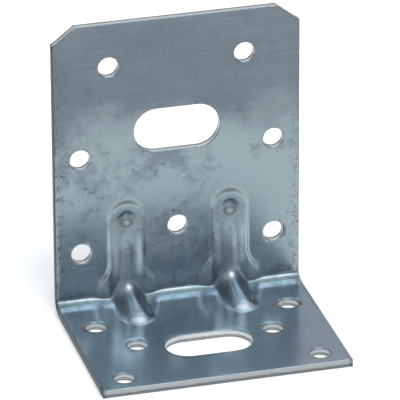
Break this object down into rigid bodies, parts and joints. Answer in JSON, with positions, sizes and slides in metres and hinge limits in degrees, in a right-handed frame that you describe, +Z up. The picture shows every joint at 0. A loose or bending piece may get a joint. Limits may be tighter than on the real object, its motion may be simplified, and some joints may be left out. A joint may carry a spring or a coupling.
{
  "type": "reinforced angle bracket",
  "caption": "Right-angle bracket folded from galvanised sheet, with two pressed ribs through the fold, round nail holes and a slotted bolt hole in each leg.",
  "frame": {"origin": "middle of the bracket's footprint, on the underside of the base", "axes": "+X along the fold, +Y into the wall that the tall leg is fixed to, +Z up along the tall leg"},
  "size_m": [0.06, 0.0472, 0.0735],
  "materials": {
    "galvanised_steel": "hot-dip galvanised, dull and slightly mottled"
  },
  "bodies": {
    "root": {"angle_bracket": "galvanised_steel"}
  },
  "joints": []
}
